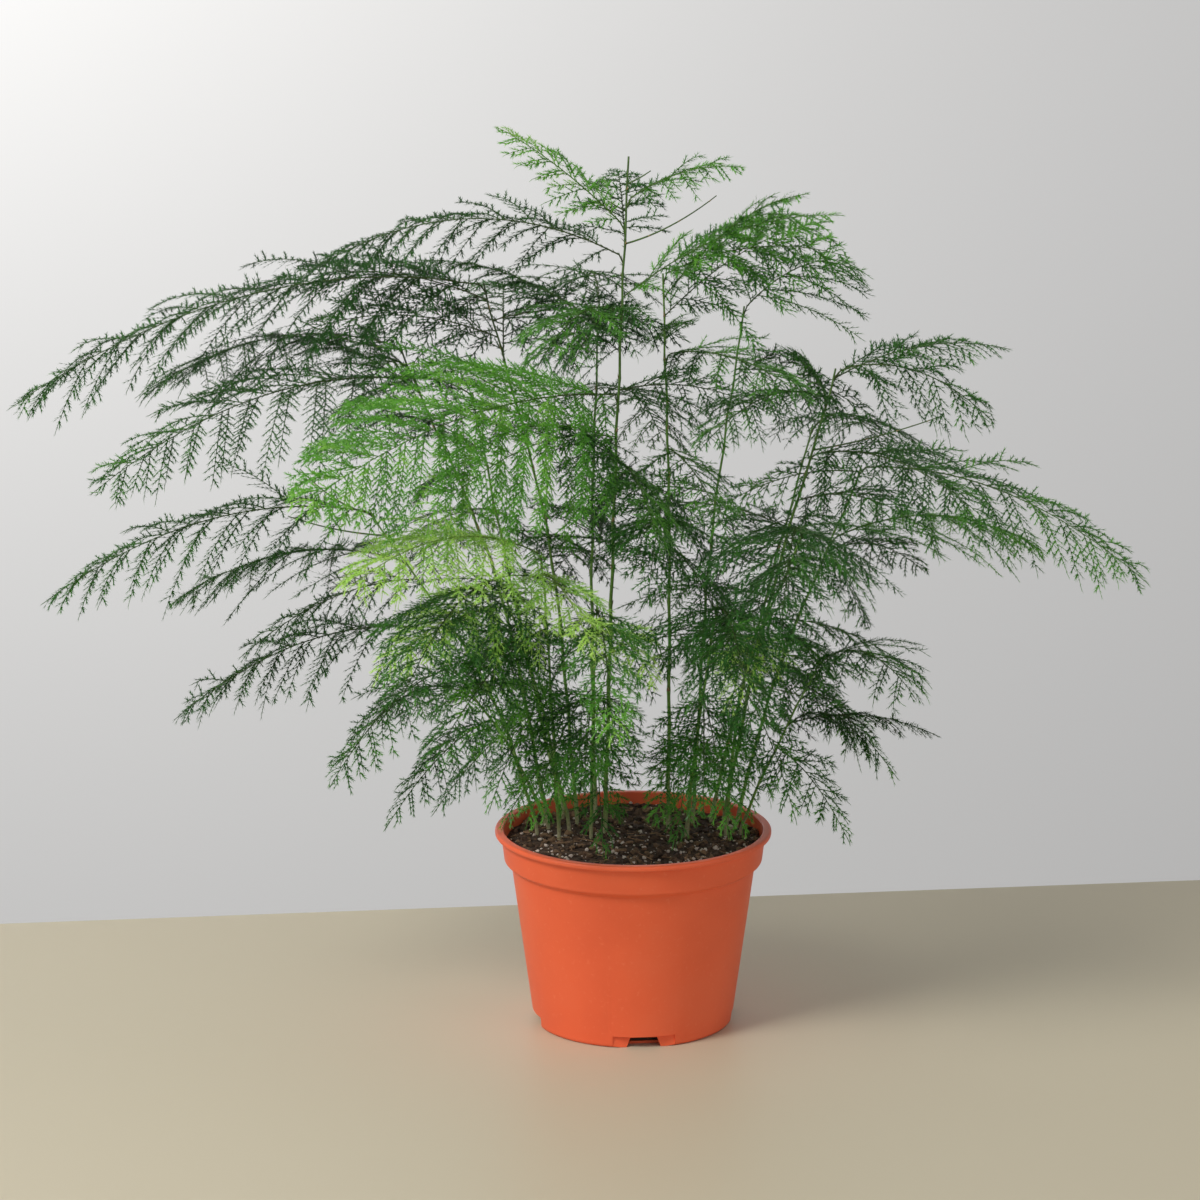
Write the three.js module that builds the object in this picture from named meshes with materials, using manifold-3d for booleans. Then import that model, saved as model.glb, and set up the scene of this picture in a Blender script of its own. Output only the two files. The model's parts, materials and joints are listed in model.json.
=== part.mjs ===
// A potted asparagus fern: a plastic nursery pot, its soil, the canes that rise from two
// crowns in the soil, and the flat, arching fronds that the canes carry.
// Millimetres, +Z up. The origin is on the pot's axis, on the flat underside of its base.
// The plant's fullest, brightest side faces -Y.
import * as THREE from 'three';
import { mergeVertices } from 'three/addons/utils/BufferGeometryUtils.js';
import Module from 'manifold-3d';

// Pot
const rimRadius = 78;
const potHeight = 112;
const lipHeight = 3;
const collarTopRadius = 74.6;
const collarStepRadius = 72.8;
const collarStepHeight = 94.4;
const wallTopRadius = 68.8;
const wallTopHeight = 91.5;
const baseRadius = 56.3;
const cornerRadius = 3;
const potWall = 1.4;
const wallStart = 0.6;
const rimEdge = [[0.6, 0.3], [0, 1.5], [0.5, 2.7], [1.2, 3]];
const mouthEase = 0.5;
const cornerSteps = 3;
const potSegments = 52;

// Drain notches, cut at the corner of wall and base
const notchCount = 4;
const notchFirstAngle = -83.5;
const notchFaceRadius = 53.4;
const notchWidth = 35;
const notchHeight = 7;
const notchWall = 1.6;
const drainTopWidth = 15;
const drainBottomWidth = 20;
const drainHeight = 5.5;
const drainInnerRadius = 47;
const drainBelow = 1;
const backingSide = 2;
const backingSink = 0.2;
const recessBelow = 2;
const recessDepth = 10;

// Soil
const soilLevel = 104.6;
const soilLump = 1.3;
const soilGap = 0.4;
const soilSegments = 28;
const soilRings = [1, 0.8, 0.6, 0.4, 0.2];
const soilFootInset = 4;
const soilLedgeGap = 1.5;
const soilLedgeRise = 1;
const soilShoulderLift = 1.2;

// Canes and fronds
const caneSides = 5;
const caneSteps = 9;
const caneSoilGap = 1.6;
const caneGap = 0.6;
const frondThickness = 1;
const frondRows = 12;
const frondLobe = 0.8;
const frondWidestAt = 0.3;
const frondSwell = 0.8;
const frondTaper = 0.75;
const frondTipHalfWidth = 1.6;
const frondSag = 0.22;
const frondCaneGap = 0.5;
const frondLeastSine = 0.35;

// Points closer than this are one corner
const sameCorner = 1e-4;

const up = new THREE.Vector3(0, 0, 1);

const wasm = await Module();
wasm.setup();

// A closed three.js geometry as a solid that can be joined and cut.
function toSolid(geometry) {
  const bare = geometry.clone();
  bare.deleteAttribute('normal');
  bare.deleteAttribute('uv');
  const merged = mergeVertices(bare, sameCorner);
  return new wasm.Manifold(new wasm.Mesh({
    numProp: 3,
    vertProperties: new Float32Array(merged.attributes.position.array),
    triVerts: new Uint32Array(merged.index.array),
  }));
}

function toGeometry(solid) {
  const mesh = solid.getMesh();
  const geometry = new THREE.BufferGeometry();
  geometry.setAttribute('position', new THREE.BufferAttribute(mesh.vertProperties, 3));
  geometry.setIndex(new THREE.BufferAttribute(mesh.triVerts, 1));
  geometry.computeVertexNormals();
  return geometry;
}

function makeMesh(name, geometry, material) {
  const mesh = new THREE.Mesh(geometry, material);
  mesh.name = name;
  return mesh;
}

// A turned solid about Z from [radius, height] points that start and end on the axis.
function turned(points, segments) {
  const profile = points.map(([radius, height]) => new THREE.Vector2(radius, height));
  return new THREE.LatheGeometry(profile, segments).rotateX(Math.PI / 2);
}

// The pot's outside, from the middle of its base up to the lip. The lip's own edge is given
// as steps in from the rim and up from the lip's underside.
function potOutside() {
  const points = [[0, 0]];
  for (let i = 0; i <= cornerSteps; i++) {
    const turn = (Math.PI / 2) * (i / cornerSteps);
    points.push([
      baseRadius - cornerRadius + cornerRadius * Math.sin(turn),
      cornerRadius - cornerRadius * Math.cos(turn),
    ]);
  }
  points.push([wallTopRadius, wallTopHeight]);
  points.push([collarStepRadius, collarStepHeight]);
  points.push([collarTopRadius, potHeight - lipHeight]);
  for (const [inward, upward] of rimEdge) {
    points.push([rimRadius - inward, potHeight - lipHeight + upward]);
  }
  return points;
}

function potShellProfile() {
  return [
    ...potOutside(),
    [collarTopRadius - potWall + mouthEase, potHeight],
    [collarTopRadius - potWall, potHeight - wallStart],
    [collarStepRadius - potWall, collarStepHeight + wallStart],
    [wallTopRadius - potWall, wallTopHeight + wallStart],
    [baseRadius - potWall, cornerRadius + wallStart],
    [baseRadius - cornerRadius, potWall],
    [0, potWall],
  ];
}

function boxSolid(sizeX, sizeY, sizeZ, centre) {
  return toSolid(new THREE.BoxGeometry(sizeX, sizeY, sizeZ).translate(...centre));
}

// The drain hole: a trapezoid in the wall, run inwards through the corner of the base.
function drainSolid() {
  const shape = new THREE.Shape([
    new THREE.Vector2(-drainBottomWidth / 2, -drainBelow),
    new THREE.Vector2(drainBottomWidth / 2, -drainBelow),
    new THREE.Vector2(drainTopWidth / 2, drainHeight),
    new THREE.Vector2(-drainTopWidth / 2, drainHeight),
  ]);
  const length = baseRadius + cornerRadius - drainInnerRadius;
  const hole = new THREE.ExtrudeGeometry(shape, { depth: length, bevelEnabled: false });
  hole.rotateX(Math.PI / 2).rotateZ(Math.PI / 2).translate(drainInnerRadius, 0, 0);
  return toSolid(hole);
}

function makePot() {
  const full = toSolid(turned([...potOutside(), [0, potHeight]], potSegments));
  let pot = toSolid(turned(potShellProfile(), potSegments));
  const drain = drainSolid();
  const backDepth = baseRadius + cornerRadius - notchFaceRadius;
  const backHeight = notchHeight + notchWall;
  const backing = boxSolid(backDepth, notchWidth + 2 * backingSide, backHeight, [
    notchFaceRadius - notchWall + backDepth / 2, 0, backHeight / 2 + backingSink,
  ]);
  const recess = boxSolid(recessDepth, notchWidth, notchHeight + recessBelow, [
    notchFaceRadius + recessDepth / 2, 0, (notchHeight - recessBelow) / 2,
  ]);
  for (let i = 0; i < notchCount; i++) {
    const turn = [0, 0, notchFirstAngle + (360 / notchCount) * i];
    pot = pot
      .add(backing.rotate(turn).intersect(full))
      .subtract(recess.rotate(turn))
      .subtract(drain.rotate(turn));
  }
  const plastic = new THREE.MeshStandardMaterial({ color: 0xd9603f, roughness: 0.55 });
  return makeMesh('pot', toGeometry(pot), plastic);
}

// Height of the lumpy soil surface: two slow waves across it.
function soilTop(x, y) {
  return soilLevel + soilLump * (
    0.5 * Math.sin(x * 0.11 + 1.3) * Math.cos(y * 0.09 - 0.4)
    + 0.5 * Math.sin(x * 0.043 - y * 0.071 + 0.8)
  );
}

function makeSoil() {
  const foot = potWall + soilGap;
  const bottomRadius = notchFaceRadius - notchWall - soilFootInset;
  const ledge = notchHeight + notchWall + soilLedgeGap;
  const slope = (wallTopRadius - baseRadius) / (wallTopHeight - cornerRadius);
  const ledgeRadius = baseRadius + (ledge - cornerRadius) * slope - potWall - soilGap;
  const collarMiddle = (collarTopRadius + collarStepRadius) / 2;
  const topRadius = collarMiddle - potWall - soilGap;
  const profile = [
    [0, foot],
    [bottomRadius, foot],
    [bottomRadius, ledge - soilLedgeRise],
    [ledgeRadius, ledge],
    [wallTopRadius - potWall - soilGap, wallTopHeight + soilShoulderLift],
    [collarStepRadius - potWall - soilGap, collarStepHeight + soilShoulderLift],
    ...soilRings.map((share) => [topRadius * share, soilLevel]),
    [0, soilLevel],
  ];
  const geometry = turned(profile, soilSegments);
  const position = geometry.attributes.position;
  for (let i = 0; i < position.count; i++) {
    if (position.getZ(i) > soilLevel - sameCorner) {
      position.setZ(i, soilTop(position.getX(i), position.getY(i)));
    }
  }
  const mix = new THREE.MeshStandardMaterial({ color: 0x3b2a20, roughness: 0.95 });
  return makeMesh('soil', geometry, mix);
}

// Each cane: where it leaves the soil, the point it bends through, and its top.
// The first ten rise from the left crown, the rest from the right one.
const canes = [
  { foot: [-42, 4], bend: [-46, -18, 200], top: [-50, -60, 284], radius: 1.3 },
  { foot: [-24, 2], bend: [-22, -18, 186], top: [-20, -60, 254], radius: 1.2 },
  { foot: [-16, 14], bend: [-10, 4, 320], top: [-3, 0, 492], radius: 1.5 },
  { foot: [-32, 30], bend: [-48, 40, 270], top: [-84, 26, 418], radius: 1.3 },
  { foot: [-36, 18], bend: [-56, 0, 200], top: [-74, -34, 264], radius: 1.3 },
  { foot: [-48, 22], bend: [-78, 34, 250], top: [-132, 34, 382], radius: 1.4 },
  { foot: [-54, 12], bend: [-80, 2, 190], top: [-146, -24, 300], radius: 1.2 },
  { foot: [-50, 32], bend: [-70, 30, 150], top: [-120, 12, 226], radius: 1.1 },
  { foot: [-40, 44], bend: [-70, 84, 230], top: [-94, 124, 338], radius: 1.3 },
  { foot: [-22, 48], bend: [-24, 84, 260], top: [-20, 118, 396], radius: 1.4 },
  { foot: [20, 22], bend: [20, 20, 280], top: [16, 24, 424], radius: 1.4 },
  { foot: [34, 30], bend: [44, 40, 270], top: [62, 46, 402], radius: 1.3 },
  { foot: [30, 8], bend: [36, -8, 170], top: [46, -40, 250], radius: 1.6 },
  { foot: [52, 6], bend: [62, -8, 200], top: [92, -44, 290], radius: 1.3 },
  { foot: [50, 18], bend: [76, 12, 240], top: [112, 4, 374], radius: 1.5 },
  { foot: [58, 24], bend: [80, 30, 190], top: [128, 22, 316], radius: 1.3 },
  { foot: [44, 38], bend: [74, 74, 220], top: [104, 112, 322], radius: 1.3 },
  { foot: [60, 10], bend: [74, 0, 145], top: [104, -16, 214], radius: 1.1 },
];

function canePath(cane) {
  const [x, y] = cane.foot;
  return new THREE.CatmullRomCurve3([
    new THREE.Vector3(x, y, soilTop(x, y) + caneSoilGap),
    new THREE.Vector3(...cane.bend),
    new THREE.Vector3(...cane.top),
  ]);
}

function caneTube(cane, radius) {
  const corners = [];
  for (let i = 0; i < caneSides; i++) {
    const turn = (2 * Math.PI * i) / caneSides;
    corners.push(new THREE.Vector2(radius * Math.cos(turn), radius * Math.sin(turn)));
  }
  return new THREE.ExtrudeGeometry(new THREE.Shape(corners), {
    steps: caneSteps,
    extrudePath: canePath(cane),
  });
}

// Each frond: the cane that carries it, how far up that cane it leaves (1 is the cane's top),
// its tip, its full width, how high its midrib arches, and how far it rolls to one side.
const fronds = [
  { cane: 3, at: 0.9, tip: [-74, -4, 508], width: 50, arch: 4, roll: -30 },
  { cane: 3, at: 0.88, tip: [-10, 80, 474], width: 60, arch: 8, roll: 0 },
  { cane: 3, at: 0.94, tip: [58, -30, 490], width: 48, arch: 6, roll: 20 },
  { cane: 11, at: 1, tip: [118, 20, 434], width: 130, arch: 10, roll: 40 },
  { cane: 11, at: 0.86, tip: [94, -60, 368], width: 90, arch: 10, roll: 6 },
  { cane: 12, at: 1, tip: [126, 116, 416], width: 120, arch: 10, roll: 15 },
  { cane: 3, at: 0.86, tip: [-184, 8, 424], width: 84, arch: 26, roll: -15 },
  { cane: 4, at: 0.86, tip: [-76, 140, 398], width: 120, arch: 14, roll: 0 },
  { cane: 3, at: 0.78, tip: [-52, -92, 390], width: 100, arch: 14, roll: 0 },
  { cane: 4, at: 1, tip: [-345, 0, 352], width: 180, arch: 28, roll: -10 },
  { cane: 6, at: 1, tip: [-284, 132, 336], width: 160, arch: 18, roll: 0 },
  { cane: 6, at: 0.93, tip: [-292, -66, 318], width: 150, arch: 20, roll: -12 },
  { cane: 7, at: 1, tip: [-322, -52, 254], width: 120, arch: 20, roll: -10 },
  { cane: 7, at: 0.84, tip: [-262, 40, 232], width: 120, arch: 16, roll: 0 },
  { cane: 8, at: 1, tip: [-256, -12, 178], width: 110, arch: 16, roll: -10 },
  { cane: 8, at: 0.78, tip: [-168, -34, 146], width: 80, arch: 12, roll: 0 },
  { cane: 8, at: 0.6, tip: [-148, 90, 150], width: 90, arch: 14, roll: 0 },
  { cane: 3, at: 0.66, tip: [-178, -134, 322], width: 172, arch: 18, roll: -34 },
  { cane: 5, at: 1, tip: [-122, -196, 230], width: 112, arch: 16, roll: 0 },
  { cane: 1, at: 1, tip: [-150, -152, 284], width: 130, arch: 18, roll: -14 },
  { cane: 2, at: 1, tip: [-10, -188, 212], width: 64, arch: 12, roll: 0 },
  { cane: 1, at: 0.72, tip: [-108, -138, 184], width: 90, arch: 12, roll: 0 },
  { cane: 2, at: 0.58, tip: [-26, -126, 172], width: 80, arch: 12, roll: 0 },
  { cane: 14, at: 1, tip: [76, -182, 270], width: 150, arch: 24, roll: 0 },
  { cane: 13, at: 1, tip: [62, -160, 210], width: 110, arch: 18, roll: 0 },
  { cane: 13, at: 0.62, tip: [38, -98, 148], width: 70, arch: 10, roll: 0 },
  { cane: 15, at: 1, tip: [198, -6, 346], width: 120, arch: 14, roll: 20 },
  { cane: 15, at: 0.94, tip: [36, -80, 346], width: 100, arch: 14, roll: 0 },
  { cane: 15, at: 0.82, tip: [190, -84, 306], width: 110, arch: 14, roll: 10 },
  { cane: 16, at: 1, tip: [284, -18, 258], width: 140, arch: 18, roll: 12 },
  { cane: 16, at: 0.8, tip: [236, 104, 250], width: 130, arch: 16, roll: 0 },
  { cane: 18, at: 1, tip: [152, -86, 210], width: 100, arch: 14, roll: 0 },
  { cane: 18, at: 0.66, tip: [138, 0, 150], width: 80, arch: 14, roll: 0 },
  { cane: 10, at: 1, tip: [-30, 226, 376], width: 170, arch: 16, roll: 0 },
  { cane: 10, at: 0.8, tip: [20, 214, 286], width: 150, arch: 20, roll: 0 },
  { cane: 9, at: 1, tip: [-178, 214, 300], width: 160, arch: 18, roll: 0 },
  { cane: 9, at: 0.72, tip: [-128, 186, 212], width: 130, arch: 16, roll: 0 },
  { cane: 17, at: 1, tip: [156, 210, 276], width: 160, arch: 18, roll: 0 },
  { cane: 17, at: 0.74, tip: [136, 124, 200], width: 120, arch: 16, roll: 0 },
  { cane: 11, at: 0.55, tip: [2, -108, 296], width: 80, arch: 10, roll: 0 },
];

// Half width along the frond: it swells from a narrow stalk, is widest near the base and
// tapers to the tip, with shallow lobes where the side sprays end.
function frondHalfWidth(frond, u) {
  const swell = u < frondWidestAt
    ? Math.pow(u / frondWidestAt, frondSwell)
    : Math.pow((1 - u) / (1 - frondWidestAt), frondTaper);
  const lobe = Math.round(u * frondRows) % 2 === 0 ? frondLobe : 1;
  return Math.max(frondTipHalfWidth, 0.5 * frond.width * swell * lobe);
}

function frondStart(cane, path, at, tip) {
  const from = path.getPointAt(at);
  const along = path.getTangentAt(at);
  const towards = tip.clone().sub(from).normalize();
  const sine = Math.sin(along.angleTo(towards));
  const clear = (cane.radius + frondCaneGap + frondThickness / 2) / Math.max(sine, frondLeastSine);
  return from.addScaledVector(towards, at === 1 ? cane.radius + frondCaneGap : clear);
}

function frondBlade(frond) {
  const cane = canes[frond.cane - 1];
  const tip = new THREE.Vector3(...frond.tip);
  const start = frondStart(cane, canePath(cane), frond.at, tip);
  const chord = tip.clone().sub(start);
  const along = chord.clone().normalize();
  const side = up.clone().cross(along).normalize();
  side.applyAxisAngle(along, THREE.MathUtils.degToRad(frond.roll));
  const normal = along.clone().cross(side);
  const blade = new THREE.BoxGeometry(1, 2, frondThickness, frondRows, 2, 1);
  const position = blade.attributes.position;
  for (let i = 0; i < position.count; i++) {
    const u = position.getX(i) + 0.5;
    const v = position.getY(i);
    const half = frondHalfWidth(frond, u);
    const point = start.clone()
      .addScaledVector(chord, u)
      .addScaledVector(up, frond.arch * 4 * u * (1 - u))
      .addScaledVector(side, v * half)
      .addScaledVector(normal, position.getZ(i) - frondSag * v * v * half);
    position.setXYZ(i, point.x, point.y, point.z);
  }
  return blade;
}

// The blade, with a clear hole or notch wherever a cane passes through it.
function makeFrond(name, frond, material) {
  const blade = frondBlade(frond);
  blade.computeBoundingBox();
  let solid = toSolid(blade);
  for (const cane of canes) {
    const sleeve = caneTube(cane, cane.radius + caneGap);
    sleeve.computeBoundingBox();
    if (sleeve.boundingBox.intersectsBox(blade.boundingBox)) {
      solid = solid.subtract(toSolid(sleeve));
    }
  }
  return makeMesh(name, toGeometry(solid), material);
}

function numbered(word, index) {
  return `${word}_${String(index + 1).padStart(2, '0')}`;
}

const group = new THREE.Group();
group.add(makePot());
group.add(makeSoil());

canes.forEach((cane, index) => {
  const bark = new THREE.MeshStandardMaterial({ color: 0x6f7d45, roughness: 0.6 });
  group.add(makeMesh(numbered('cane', index), caneTube(cane, cane.radius), bark));
});

fronds.forEach((frond, index) => {
  const leaf = new THREE.MeshStandardMaterial({ color: 0x4f7a35, roughness: 0.7 });
  group.add(makeFrond(numbered('frond', index), frond, leaf));
});

export default group;
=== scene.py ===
import json
import math

import bmesh
import bpy
import numpy as np
from mathutils import Matrix, Vector, noise


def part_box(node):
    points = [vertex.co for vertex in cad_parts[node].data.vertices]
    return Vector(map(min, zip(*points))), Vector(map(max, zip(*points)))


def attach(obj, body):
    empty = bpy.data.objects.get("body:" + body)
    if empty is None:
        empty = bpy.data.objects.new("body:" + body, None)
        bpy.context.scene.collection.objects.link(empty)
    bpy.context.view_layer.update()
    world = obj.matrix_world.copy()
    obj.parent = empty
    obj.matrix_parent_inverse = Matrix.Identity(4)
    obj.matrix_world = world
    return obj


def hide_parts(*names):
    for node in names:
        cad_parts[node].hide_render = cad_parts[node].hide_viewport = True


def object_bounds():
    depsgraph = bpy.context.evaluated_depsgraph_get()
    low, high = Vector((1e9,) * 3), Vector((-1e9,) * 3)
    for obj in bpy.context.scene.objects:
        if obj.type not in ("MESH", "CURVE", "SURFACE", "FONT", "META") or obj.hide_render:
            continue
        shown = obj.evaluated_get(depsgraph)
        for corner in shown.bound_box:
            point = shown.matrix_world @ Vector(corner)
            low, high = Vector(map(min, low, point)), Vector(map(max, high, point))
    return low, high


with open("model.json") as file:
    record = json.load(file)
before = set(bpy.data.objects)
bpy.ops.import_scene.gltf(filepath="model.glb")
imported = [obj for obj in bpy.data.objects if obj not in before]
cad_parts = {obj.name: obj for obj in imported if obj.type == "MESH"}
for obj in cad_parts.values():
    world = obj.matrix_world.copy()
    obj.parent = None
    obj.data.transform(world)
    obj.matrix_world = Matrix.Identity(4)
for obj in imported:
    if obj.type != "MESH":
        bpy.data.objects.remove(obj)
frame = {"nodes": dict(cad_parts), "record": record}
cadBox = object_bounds()
mm = 0.001
print("frame loaded:", len(frame["nodes"]), "nodes")


def linear(red, green, blue):
    # 0-255 display colour to the linear values that shaders use
    def one(value):
        value /= 255
        return value / 12.92 if value <= 0.04045 else ((value + 0.055) / 1.055) ** 2.4
    return (one(red), one(green), one(blue), 1.0)


def unit(vectors):
    length = np.linalg.norm(vectors, axis=-1, keepdims=True)
    return vectors / np.maximum(length, 1e-12)


def linkObject(name, data):
    made = bpy.data.objects.new(name, data)
    bpy.context.collection.objects.link(made)
    return made


def newHeap():
    return {"places": [], "faces": [], "toneLevel": [], "wood": [], "count": 0}


def addToHeap(heap, places, faces, toneLevel, wood):
    heap["places"].append(np.asarray(places, float))
    heap["faces"].append(np.asarray(faces, int) + heap["count"])
    heap["toneLevel"].append(np.broadcast_to(toneLevel, len(places)).astype(float))
    heap["wood"].append(np.broadcast_to(wood, len(places)).astype(float))
    heap["count"] += len(places)


def heapToPiece(name, heap, material, smooth=False):
    places = np.concatenate(heap["places"])
    faces = np.concatenate(heap["faces"])
    mesh = bpy.data.meshes.new(name)
    mesh.from_pydata(places.tolist(), [], faces.tolist())
    for label, key in (("colourTone", "toneLevel"), ("wood", "wood")):
        values = mesh.attributes.new(label, "FLOAT", "POINT")
        values.data.foreach_set("value", np.concatenate(heap[key]).astype(np.float32))
    mesh.polygons.foreach_set("use_smooth", [smooth] * len(faces))
    mesh.materials.append(material)
    return linkObject(name, mesh)


def cadMesh(node):
    mesh = frame["nodes"][node].data
    places = np.empty(len(mesh.vertices) * 3)
    mesh.vertices.foreach_get("co", places)
    edges = np.empty(len(mesh.edges) * 2, int)
    mesh.edges.foreach_get("vertices", edges)
    return places.reshape(-1, 3), edges.reshape(-1, 2)


def slicePoints(places, edges, origin, direction):
    # where a flat cut crosses the mesh's edges
    depth = (places - origin) @ direction
    a, b = depth[edges[:, 0]], depth[edges[:, 1]]
    hit = (a < 0) != (b < 0)
    t = (a[hit] / (a[hit] - b[hit]))[:, None]
    return places[edges[hit, 0]] * (1 - t) + places[edges[hit, 1]] * t


def resample(path, spacing):
    steps = np.linalg.norm(np.diff(path, axis=0), axis=1)
    run = np.concatenate([[0], np.cumsum(steps)])
    count = max(2, int(round(run[-1] / spacing)) + 1)
    at = np.linspace(0, run[-1], count)
    return np.stack([np.interp(at, run, path[:, k]) for k in range(3)], axis=1)


studio = {
    "cameraBack": 2.350,       # metres from the pot's axis
    "cameraHeight": 0.795,
    "lookDown": 13.2,          # degrees
    "turnLeft": 0.457,
    "lens": 129.87,
    "tableBack": (0.17, 0.275),  # where the pale table ends behind the pot, at -0.4 and 0.4 across
    "wallBack": 3.4,           # the plain backdrop behind it
    "wallRise": (-3, 5),       # its lower and upper edge
    "tableColour": linear(203, 193, 167),
    "wallColour": linear(232, 231, 229),
    "skyColour": linear(232, 233, 236),
    "skyStrength": 0.44,
    "keyPower": 48,
    "fillPower": 5,
    "wallPower": 36,
    "stageReach": 9,           # how far the backdrop and the table's front run
    "tableReach": 3,           # the table is six metres wide
    "tableMarks": 0.8,         # between the two places where tableBack is given
}


def plainMaterial(name, colour, roughness):
    made = bpy.data.materials.new(name)
    made.use_nodes = True
    shader = made.node_tree.nodes["Principled BSDF"]
    shader.inputs["Base Color"].default_value = colour
    shader.inputs["Roughness"].default_value = roughness
    return made


def makeStagePlane(name, corners, material):
    mesh = bpy.data.meshes.new(name)
    mesh.from_pydata(corners, [], [(0, 1, 2, 3)])
    mesh.materials.append(material)
    plane = linkObject(name, mesh)


def makeLight(name, place, aim, size, power, colour):
    lamp = bpy.data.lights.new(name, "AREA")
    lamp.shape = "DISK"
    lamp.size = size
    lamp.energy = power
    lamp.color = colour
    holder = linkObject(name, lamp)
    holder.location = place
    holder.rotation_euler = (Vector(aim) - Vector(place)).to_track_quat("-Z", "Y").to_euler()


def makeStudio():
    cam = linkObject("studioCamera", bpy.data.cameras.new("studioCamera"))
    cam.data.lens = studio["lens"]
    cam.data.sensor_width = 36
    cam.data.clip_end = 60
    cam.location = (0, -studio["cameraBack"], studio["cameraHeight"])
    cam.rotation_euler = (math.radians(90 - studio["lookDown"]), 0, math.radians(studio["turnLeft"]))
    bpy.context.scene.camera = cam

    table = plainMaterial("paleTable", studio["tableColour"], 0.5)
    wall = plainMaterial("paleBackdrop", studio["wallColour"], 0.9)
    wide, back, edge = studio["stageReach"], studio["wallBack"], studio["tableReach"]
    low, high = studio["wallRise"]
    left, right = studio["tableBack"]
    middle, slope = (left + right) / 2, (right - left) / studio["tableMarks"]
    makeStagePlane("tableTop", [(-edge, -wide, 0), (edge, -wide, 0), (edge, middle + slope * edge, 0),
                                (-edge, middle - slope * edge, 0)], table)
    makeStagePlane("backdrop", [(-wide, back, low), (wide, back, low), (wide, back, high),
                                (-wide, back, high)], wall)

    world = bpy.data.worlds.new("softRoom")
    world.use_nodes = True
    sky = world.node_tree.nodes["Background"]
    sky.inputs["Color"].default_value = studio["skyColour"]
    sky.inputs["Strength"].default_value = studio["skyStrength"]
    bpy.context.scene.world = world
    makeLight("keyLight", (-1.5, -1.3, 1.9), (0, 0, 0.28), 0.9, studio["keyPower"], (1, 0.985, 0.96))
    makeLight("fillLight", (1.8, -1.6, 1.0), (0, 0, 0.25), 1.2, studio["fillPower"], (0.95, 0.97, 1))
    makeLight("wallLight", (-1.5, 1.9, 1.3), (-0.5, 3.4, 0.0), 0.8, studio["wallPower"], (1, 1, 1))
    bpy.context.scene.view_settings.view_transform = "Standard"


makeStudio()
print("studio ready")


def addNode(tree, kind, **values):
    node = tree.nodes.new(kind)
    for name, value in values.items():
        if name in node.inputs:
            node.inputs[name].default_value = value
        else:
            setattr(node, name, value)
    return node


def fillRamp(node, stops):
    ramp = node.color_ramp
    while len(ramp.elements) < len(stops):
        ramp.elements.new(0.5)
    for element, (place, colour) in zip(ramp.elements, stops):
        element.position = place
        element.color = colour


def joinMaths(tree, operation, first, second, third=None):
    # each of the three is a socket or a number
    node = addNode(tree, "ShaderNodeMath", operation=operation)
    for slot, value in enumerate((first, second, third)):
        if value is None:
            continue
        if isinstance(value, (int, float)):
            node.inputs[slot].default_value = value
        else:
            tree.links.new(value, node.inputs[slot])
    return node.outputs[0]


def mixColours(tree, share, first, second):
    node = addNode(tree, "ShaderNodeMix", data_type="RGBA")
    for slot, value in ((0, share), (6, first), (7, second)):
        if isinstance(value, bpy.types.NodeSocket):
            tree.links.new(value, node.inputs[slot])
        else:
            node.inputs[slot].default_value = value
    return node.outputs[2]


def startMaterial(name):
    made = bpy.data.materials.new(name)
    made.use_nodes = True
    tree = made.node_tree
    coords = addNode(tree, "ShaderNodeTexCoord")
    return made, tree, tree.nodes["Principled BSDF"], coords.outputs["Object"]


def addNoise(tree, coords, scale, detail=2.0):
    node = addNode(tree, "ShaderNodeTexNoise", Scale=scale, Detail=detail)
    tree.links.new(coords, node.inputs["Vector"])
    return node.outputs["Fac"]


def addBump(tree, shader, height, strength, distance):
    node = addNode(tree, "ShaderNodeBump", Strength=strength, Distance=distance)
    tree.links.new(height, node.inputs["Height"])
    tree.links.new(node.outputs[0], shader.inputs["Normal"])


foliageFinish = {
    # painted shade: the dark end of the ramp, the colour of fronds in shade deep inside the plant
    "shadeDeep": linear(18, 50, 18),
    "middle": linear(50, 108, 34),
    "bright": linear(112, 186, 60),
    "young": linear(206, 246, 122),
    "stalk": linear(84, 92, 52),
    "roughness": 0.48,
    "letThrough": 0.3,         # how much light passes through the needles
}


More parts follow.
